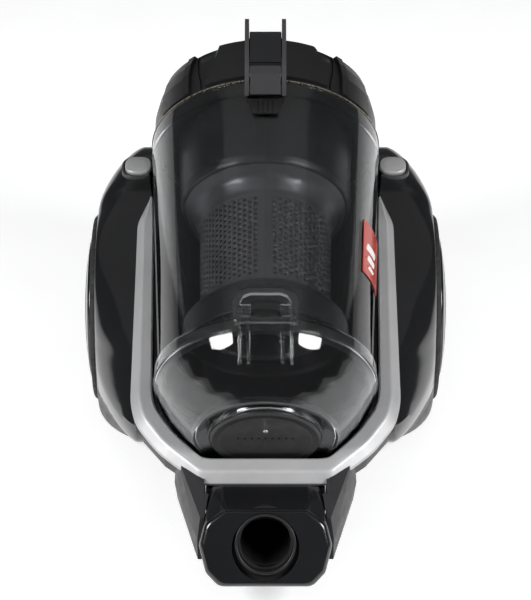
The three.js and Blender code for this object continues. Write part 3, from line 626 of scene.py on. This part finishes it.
cradle_wall = cut(lathe([(0, 6), (54, 6), *cradle_outline(WALL), (0, RIM - 1)]),
                  lathe([(0, 9), (52, 9), *cradle_outline(0), (92, RIM + 9), (0, RIM + 9)]))
inlet_cut = block((-INLET[0], INLET[1], -130), (INLET[0], INLET[2], -50), BIN)
cradle = cut(keep(cradle_wall, block((-120, 0, -120), (120, 300, -28.4), BIN)), inlet_cut)
piece("cradle_shell", cradle, "root", "satin_black", ["cradle"])

RING_WIDTH = 14.5
RING_LINE = fillet([(0, -8), (0, -5.2), (6.3, 0), (RING_WIDTH, -1.3), (15.8, -2.6), (15.8, -8)],
                   [0, 0.9, 3.5, 0.8, 0.7, 0], 4, closed=False)
# Points close to the ends of each long side keep its facet flat when it is shaded smooth.
RING_PROFILE = []
for here, there in zip(RING_LINE, RING_LINE[1:] + RING_LINE[-1:]):
    RING_PROFILE.append((here.x / RING_WIDTH, here.y))
    if (there - here).length > 2:
        RING_PROFILE += [(lerp(here.x, there.x, share) / RING_WIDTH, lerp(here.y, there.y, share))
                         for share in (0.1, 0.9)]
piece("trim_ring", trim_ring(0, RING_PROFILE), "root", "silver", ["trim_frame"], smooth=50)
softened("front_cowl", 0.8)

NOSE_FACE = [(-31, 25), (-44.5, 15), (-48.5, -1), (-43.5, -21), (-34, -31),
             (34, -31), (43.5, -21), (48.5, -1), (44.5, 15), (31, 25)]
NOSE_MIDDLE = [(-31, -158, 84.4), (-43, -163, 78), (-46.5, -174, 61), (-43.5, -184, 40),
               (-35, -189, 31)]
NOSE_REAR = [(-31, 81), (-41, 79), (-43, 62), (-43, 38), (-36, 28.7),
             (36, 28.7), (43, 38), (43, 62), (41, 79), (31, 81)]
NOSE_CORNER, NOSE_BROW, NOSE_WAIST_Z = 9.0, 5.5, 57


def nose_skin(inset, depth, back):
    """The nose between its octagonal face and the tongue, with its corners and brow rounded."""

    def near(value, middle=0.0):
        return value - math.copysign(inset, value - middle)

    sections = []
    for k in range(6):
        a = k / 5 * math.pi / 2
        share = 1 - 0.10 * (1 - math.sin(a))
        y = depth + NOSE_BROW * (1 - math.cos(a))
        sections.append([NOSE @ Vector((share * near(x), y, share * near(v))) for x, v in NOSE_FACE])
    half = [(x + inset, y, near(z, NOSE_WAIST_Z)) for x, y, z in NOSE_MIDDLE]
    sections.append(half + [(-x, y, z) for x, y, z in reversed(half)])
    for y in (-139, back):
        sections.append([(near(x), y, near(z, NOSE_WAIST_Z)) for x, z in NOSE_REAR])
    return loft([fillet(section, NOSE_CORNER - inset, 4) for section in sections])


tongue_room = prism("x", [(-145.5, 28), (-100, 28), (-100, 73.4), (-137.3, 73.4), (-145.5, 42.4)],
                    -44.4, 44.4)
crescent = rod("y", -5, 7, 24.4, (0, -2.6), 96, NOSE)
nose = cut(nose_skin(0, 0, -138), nose_skin(WALL, WALL, -98), crescent,
           rod("y", -5, 26, 22.7, (0, 0), 96, NOSE), tongue_room)
piece("nose_shell", nose, "root", "gloss_black", ["nose_block"], 0.7, smooth=40)
softened("right_wing", 1.2)
softened("left_wing", 1.2)
softened("exhaust_grille", 0.6)

socket_profile = fillet([(SOCKET_R, 0.6), (22.4, 0.6), (22.4, 6.4), (27.6, 6.4), (27.6, 7.8),
                         (22.2, 7.8), (22.2, 20), (SOCKET_R, 20)],
                        [1.2, 0.9, 1.2, 0.4, 0.4, 0.8, 0.5, 0.5])
piece("hose_socket_sleeve", lathe(socket_profile, NOSE), "root", "satin_black", ["hose_socket"])

# ------------------------------------------------------------------------------ the pedals

for name, side in (("power", 1), ("rewind", -1)):
    x = side * PEDAL_X
    top = pad(x, PEDAL, 0, 3.9, dome=1.3, edge=1.6)
    dish = pad(x, (6.2, 5.4), 4.7, 8)
    stem = rod("z", -9, 1, 3, (x, 0), place=DECK)
    piece(f"{name}_pedal", add(cut(top, dish), stem), f"{name}_pedal", "silver", [f"{name}_button"],
          0.25, segments=2)
    stance = DECK @ Matrix.Translation((x, 0, -8))
    spring = piece(f"{name}_coil", coil(stance, 5, 0.6, 7.2, 3.5), "root", "steel",
                   [f"{name}_spring"], smooth=60)
    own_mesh(spring)
    lip = cut(pad(x, (13.2, 12.4), -9, 1.1, edge=0.6), pad(x, PEDAL_WELL, -26, 34),
              BODY_ROOM if side > 0 else mirrored(BODY_ROOM))
    piece(f"{name}_bezel", lip, "root", "mid_grey")

# ------------------------------------------------------------------------------- the bin

shell = lathe(fillet([(80, LID_TOP + GAP), (bin_radius(RIM - 14), RIM - 14), (89, RIM - 12),
                      (89, RIM), (86.4, RIM), (77.4, LID_TOP + GAP)], [0.8, 6, 6, 1.0, 1.0, 0.8]),
              sides=160)
port = block((-INLET[0] + 1, INLET[1] + 1, -130), (INLET[0] - 1, INLET[2] - 1, -50), BIN)
piece("bin_wall", cut(shell, port), "bin", "smoked_clear", ["bin_cylinder"])

lid_outside = fillet([(41.4, 15), *LID_OUTLINE[:-1], (82.2, 58), (83.3, 59.2), (83.3, 60.6),
                      (82.6, 61.2), (82.6, LID_TOP)], [0, 2.2, 30, 30, 30, 1, 0.5, 0.5, 1, 0.8], 6,
                     closed=False)
lid_inside = fillet([(80.2, LID_TOP), *[(r - 2.4, s + 1.4) for r, s in reversed(LID_OUTLINE)],
                     (41.4, 17.6)], [0, 8, 30, 30, 30, 4, 0], 6, closed=False)
lid = lathe([tuple(p) for p in lid_outside + lid_inside], sides=160)
piece("lid_wall", lid, "bin", "smoked_clear", ["bin_lid"])

rim = fillet([(84.5, RIM + 0.3), (89.4, RIM + 0.3), (89.4, RIM + 0.9), (88.2, RIM + 1.3),
              (87.6, RIM + 2.2), (84.5, RIM + 2.2)], 0.25, 2)
piece("rim_band", lathe(rim), "bin", "silver", ["rim_ring"], finish=RIM_METAL)

def band(low, high, lift, thick):
    """The profile of a thin sheet on the cylinder between two stations."""
    return [(bin_radius(s) + lift + up, s)
            for s, up in ((low, 0), (low, thick), (high, thick), (high, 0))]


BADGE = (134, 180, 60, 86)


def label(low, high, start, end, lift, thick):
    """A thin curved sheet on the cylinder between two stations and two angles."""
    return keep(lathe(band(low, high, lift, thick), sides=240), wedge(start, end, low - 1, high + 1))


piece("badge_sheet", label(*BADGE, 0.3, 0.7), "bin", "badge_red", ["badge"], 0.3)
badge_middle = BIN @ Matrix.Rotation(math.radians(70), 4, "Y")
MARKS = ((140.5, 144, 7.0), (147, 152.5, 9.0), (155.5, 162, 11.0))  # low, high, half length
for i, (low, high, half) in enumerate(MARKS):
    bar = fillet([(-half, low), (half - 3, low), (half, high), (3 - half, high)], 1.6)
    mark = keep(label(*BADGE, 0.8, 0.42), prism("z", [tuple(p) for p in bar], 60, 110, badge_middle))
    piece(f"badge_mark_{i + 1}", mark, "bin", "badge_red", finish=PRINT_WHITE)

seam_line = keep(lathe(band(78, 258, -0.5, 0.72), sides=720),
                 block((-0.35, 70, 60), (0.35, 262, 110), BIN))
piece("mould_line", seam_line, "bin", "smoked_clear")

end_ring = fillet([(42, 18.2), (51.8, 18.2), (53.4, 20), (52.6, 21), (51.2, 19.6), (42, 19.6)], 0.4)
piece("end_ring", lathe(end_ring), "bin", "satin_black")
plate = lathe([(0, 13.4), *fillet([(33, 13.4), (34.5, 12.6), (39, 12.6), (41, 14), (41, 18)], 0.7,
                                  closed=False), (0, 18)])
teeth = [block((x - 0.8, 12.8, -6), (x + 0.8, 13.6, 3), BIN) for x in range(-20, 21, 5)]
piece("end_disc", add(plate, *teeth), "bin", "satin_black", ["end_plate"], 0.25)
pin = lathe([(0, 12.2), *fillet([(1.2, 12.3), (1.9, 12.9), (1.9, 14)], 0.4, closed=False), (0, 14)],
            BIN @ Matrix.Translation((0, 0, 14)), 32)
piece("end_pin", pin, "bin", "steel")
seal = fillet([(74.6, LID_TOP - 11.4), (79.7, LID_TOP - 10), (79.7, LID_TOP - 0.8), (75, LID_TOP - 0.8),
               (75, LID_TOP - 3), (77.4, LID_TOP - 4), (77.4, LID_TOP - 7), (75, LID_TOP - 8)], 0.5)
piece("lid_seal_band", lathe(seal), "bin", "rubber", ["lid_seal"])

lid_line = LID_OUTLINE[-2::-1]
fin_shape = lathe([(0, 68), (84.6, 68), (85.6, 59), *[(r + 3.2, s - 0.6) for r, s in lid_line[:3]],
                   (0, 30)])
lid_room = lathe([(0, 70), (82.3, 70), (82.3, 59), *[(r - 0.3, s) for r, s in lid_line], (0, 15)])
for hand, side in HANDS:
    for i, x in enumerate((12.3, 18.8)):
        fin = cut(keep(fin_shape, block((side * x - 1.1, 36.5, 40), (side * x + 1.1, 67, 110), BIN)),
                  lid_room)
        piece(f"lid_fin_{hand}_{i + 1}", fin, "bin", "smoked_clear", bevel=0.5)

# ------------------------------------------------------------------------- the separator


def screen():
    """The perforated tube: four panels of round holes in staggered columns, with plain strips."""
    columns, rows, pitch, first = 17, 15, 4.5, 126.0
    radius, hole = 52.0, 1.25
    margin, quarter = 5.5, 90.0
    step = (quarter - 2 * margin) / columns
    plain_below, plain_above = [112.0, 117.0, 122.0], [203.0, 211.0, 219.0]
    stations = [*plain_below, *[first + k * pitch / 2 for k in range(2 * rows + 2)], *plain_above]
    low_row = len(plain_below)
    angles, hole_columns = [], []
    for quadrant in range(4):
        start = quadrant * quarter
        angles += [start - margin + 2 * margin * k / 3 for k in range(1, 3)]
        angles.append(start + margin)
        for c in range(columns):
            hole_columns.append(len(angles) - 1)
            angles += [start + margin + (c + 0.5) * step, start + margin + (c + 1) * step]
    bm = bmesh.new()
    found = {}

    def vertex(i, k):
        key = (i % len(angles), k)
        if key not in found:
            a = math.radians(angles[key[0]])
            found[key] = bm.verts.new((radius * math.sin(a), stations[k], radius * math.cos(a)))
        return found[key]

    def quad(i, k):
        bm.faces.new((vertex(i, k), vertex(i + 1, k), vertex(i + 1, k + 1), vertex(i, k + 1)))

    def cell(i, k):
        edge = [(i, k), (i + 1, k), (i + 2, k), (i + 2, k + 1), (i + 2, k + 2), (i + 1, k + 2),
                (i, k + 2), (i, k + 1)]
        middle_angle, middle = angles[(i + 1) % len(angles)], stations[k + 1]
        ring = []
        for n in range(8):
            turn = math.radians(225 + 45 * n)
            a = math.radians(middle_angle) + hole * math.cos(turn) / radius
            ring.append(bm.verts.new((radius * math.sin(a), middle + hole * math.sin(turn),
                                      radius * math.cos(a))))
        for n in range(8):
            m = (n + 1) % 8
            bm.faces.new((vertex(*edge[n]), vertex(*edge[m]), ring[m], ring[n]))

    covered = set(hole_columns) | {i + 1 for i in hole_columns}
    for i in range(len(angles)):
        for k in range(len(stations) - 1):
            if i not in covered or not low_row <= k < low_row + 2 * rows + 1:
                quad(i, k)
    for n, i in enumerate(hole_columns):
        late = n % 2
        for r in range(rows):
            cell(i, low_row + late + 2 * r)
        spare = low_row if late else low_row + 2 * rows
        quad(i, spare)
        quad(i + 1, spare)
    return solid(bm, BIN)


tube = piece("screen_tube", screen(), "head", "dark_grey", ["mesh_grille"], smooth=30,
             finish=SCREEN_GREY)
thick = tube.modifiers.new("wall", "SOLIDIFY")
thick.thickness, thick.offset = 1.4 * MM, -1

flare = fillet([(50.6, 196), (52.2, 196), (52.6, 201), (56, 210.5), (63, 215.8), (62, 217), (54, 212),
                (50.6, 203)], [0.3, 0.3, 8, 12, 0.4, 0.4, 10, 6], 5)
piece("screen_shoulder", lathe(flare), "head", "dark_grey", finish=SCREEN_GREY)

collar = fillet([(64.5, RIM + 3), (67, RIM + 3), (67, 222), (65, 216), (54.5, 216), (54.5, 218.5),
                 (63.5, 219), (64.5, 223)], [0.4, 0.6, 3, 3, 0.5, 0.5, 2, 2])
piece("collar_shell", lathe(collar), "head", "satin_black", ["separator_collar"])
flange = fillet([(67.3, RIM + 0.8), (83.6, RIM + 0.8), (83.6, RIM + 2.2), (67.3, RIM + 2.2)], 0.4)
piece("collar_flange", lathe(flange), "head", "satin_black")
skirt = fillet([(52.6, 122), (54, 122), (60, 116), (67, 107), (67.6, 86), (65.6, 86), (64.8, 106),
                (52.6, 117)], [0.4, 0.6, 5, 6, 0.8, 0.6, 6, 3])
piece("skirt_shell", lathe(skirt), "head", "satin_black", ["separator_skirt"])

# -------------------------------------------------------------------------------- the head

HEAD_CURVE = [(87, 296), (84.5, 308), (80.5, 318)]
head_outside = lathe([(0, RIM + 2.6), *fillet([(87, RIM + 2.6), *HEAD_CURVE, (72, 323)],
                                              [0.6, 5, 6, 6, 3], 4, closed=False), (0, 325.5)])
head_inside = lathe([(0, RIM - 5), (84, RIM - 5), (84, 295), (81.5, 307), (77.5, 315.5), (70, 320),
                     (0, 322.5)])


def raised(height):
    """The head's outside, grown, for the parts that stand up and follow its curve."""
    rows = [(87 + height, RIM + 4)] + [(r + height, s) for r, s in HEAD_CURVE]
    return lathe([(0, RIM + 4), *fillet(rows, [1.0, 5, 4, 1.2], 4, closed=False), (0, 318)])


panel = keep(raised(3.6), wedge(-25, 25, RIM, 325, 7))
head_rib = keep(raised(3.2), wedge(41, 45, RIM, 330))
shoulder = keep(raised(1.8), wedge(44, 64, RIM, 330))
pocket = cut(keep(raised(0.2), wedge(29, 40.5, RIM - 12, 322, -5.6)), raised(-1.3))
sides_of_head = [mesh for one in (head_rib, shoulder) for mesh in (one, mirrored(one))]
head = cut(add(head_outside, panel, *sides_of_head), pocket, mirrored(pocket), head_inside,
           block((-22, 288, -100), (22, 302, -60), BIN))
piece("head_shell", head, "head", "satin_black", ["head_cover"], 0.7)

softened("handle_frame", 0.7)
softened("grip_cover", 0.7)
softened("latch_lever", 0.8)
catch = prism("z", [(-13.6, 258.2), (-9.6, 243.2), (9.6, 243.2), (13.6, 258.2)], 60, 91.4, BIN)
catch = keep(catch, prism("x", [(243, 80), (258.4, 80), (258.4, 88.6), (254, 91.2), (243, 91.2)],
                          -20, 20, BIN))
grooves = [block((x - 0.6, 243, 90.6), (x + 0.6, 256, 95), BIN) for x in (-5.4, -1.8, 1.8, 5.4)]
catch = cut(catch, lathe([(0, 230), (89.3, 230), (89.3, 262), (0, 262)], sides=180), *grooves)
piece("latch_catch_block", catch, "bin", "satin_black", ["latch_catch"], 0.45)

softened("lid_clip", 1.3, segments=4)
for hand, side in HANDS:
    near_x, far_x = sorted((side * 10.6, side * 18.7))
    bracket = cut(block((near_x, 66.2, 85.2), (far_x, 76.4, 88.6), BIN),
                  block((near_x + 1.6, 68, 86.4), (far_x - 1.6, 74.8, 92), BIN))
    piece(f"clip_bracket_{hand}", bracket, "lid_clip_body", "smoked_clear", bevel=0.5)

# ------------------------------------------------------------------------------ the wheels


def tread(radius, station, step):
    """Shallow slots across the tread, and a plain middle line."""
    return 0.8 if radius > 73.5 and step % 8 < 2 and abs(station) > 2 else 0


WHEEL_X = 128
for hand, side in HANDS:
    place = Matrix.Translation((side * WHEEL_X, WHEEL_Y, WHEEL_R)) @ Matrix.Rotation(
        math.radians(-90 * side), 4, "Z")
    body = f"{hand}_wheel_body"
    tyre = fillet([(69, -9), (73, -10), (75, -7), (75, 7), (72.5, 9.6), (69, 9)],
                  [0.6, 1.4, 2.5, 2.5, 1.4, 0.6])
    piece(f"{hand}_tyre_band", lathe(tyre, place, 360, tread), body, "rubber", [f"{hand}_tyre"])
    hub = fillet([(7, -9), (66, -9), (68.6, -7), (68.6, 8), (60, 9.6), (40, 4.4), (7, 4.4)], 1.0)
    piece(f"{hand}_wheel_disc", lathe(hub, place), body, "dark_grey", [f"{hand}_wheel"])
    cap = [(0, 5), *fillet([(36, 7), (58, 10.2), (56, 12.4), (46, 14.2), (45, 13.2), (43, 13.6),
                            (42.2, 14.8), (24, 16.6), (15, 17), (14, 16), (12, 16.1), (11, 17.1)],
                           0.8, closed=False), (0, 17.2)]
    piece(f"{hand}_cap", lathe(cap, place), body, "gloss_black", [f"{hand}_hub_cap"])

softened("caster_fork", 0.5)

# --------------------------------------------------------------- camera, lights and floor

CAMERA_DISTANCE = 2.0
FLOOR_RADIUS = 9.0
target = Vector((0, 0.075, 0.0943))
lens = bpy.data.cameras.new("camera")
lens.lens, lens.sensor_width = 150, 36
lens.clip_start, lens.clip_end = 0.05, 100
camera = bpy.data.objects.new("camera", lens)
bpy.context.scene.collection.objects.link(camera)
elevation = math.radians(36)
camera.location = target + Vector((0, -math.cos(elevation), math.sin(elevation))) * CAMERA_DISTANCE
camera.rotation_euler = (math.pi / 2 - elevation, 0, 0)
bpy.context.scene.camera = camera


def lamp(name, direction, distance, size, power, shape="DISK"):
    """An area light that looks at the target from a direction."""
    light = bpy.data.lights.new(name, "AREA")
    light.shape, light.size, light.energy = shape, size, power
    obj = bpy.data.objects.new(name, light)
    bpy.context.scene.collection.objects.link(obj)
    away = Vector(direction).normalized()
    obj.location = target + away * distance
    obj.rotation_mode = "QUATERNION"
    obj.rotation_quaternion = away.to_track_quat("Z", "Y")


for hand, side in HANDS:
    lamp(f"round_{hand}", (side * 0.62, -0.48, 0.58), 1.5, 0.56, 18)
lamp("overhead", (0, 0.3, 1), 2.4, 3.4, 7, "SQUARE")

world = bpy.data.worlds.new("studio")
world.use_nodes = True
background = world.node_tree.nodes["Background"]
background.inputs["Color"].default_value = (0.9, 0.92, 0.95, 1)
background.inputs["Strength"].default_value = 0.13
bpy.context.scene.world = world
bpy.context.scene.view_settings.view_transform = "Standard"

bm = bmesh.new()
bmesh.ops.create_circle(bm, cap_ends=True, radius=FLOOR_RADIUS, segments=96)
ground_mesh = bpy.data.meshes.new("floor")
bm.to_mesh(ground_mesh)
bm.free()
ground = bpy.data.objects.new("floor", ground_mesh)
bpy.context.scene.collection.objects.link(ground)
ground_mesh.materials.append(plastic("floor_paper", (0.86, 0.86, 0.86), 0.8, 400, 0.0001, shade=0.01,
                                     glow=0.42))
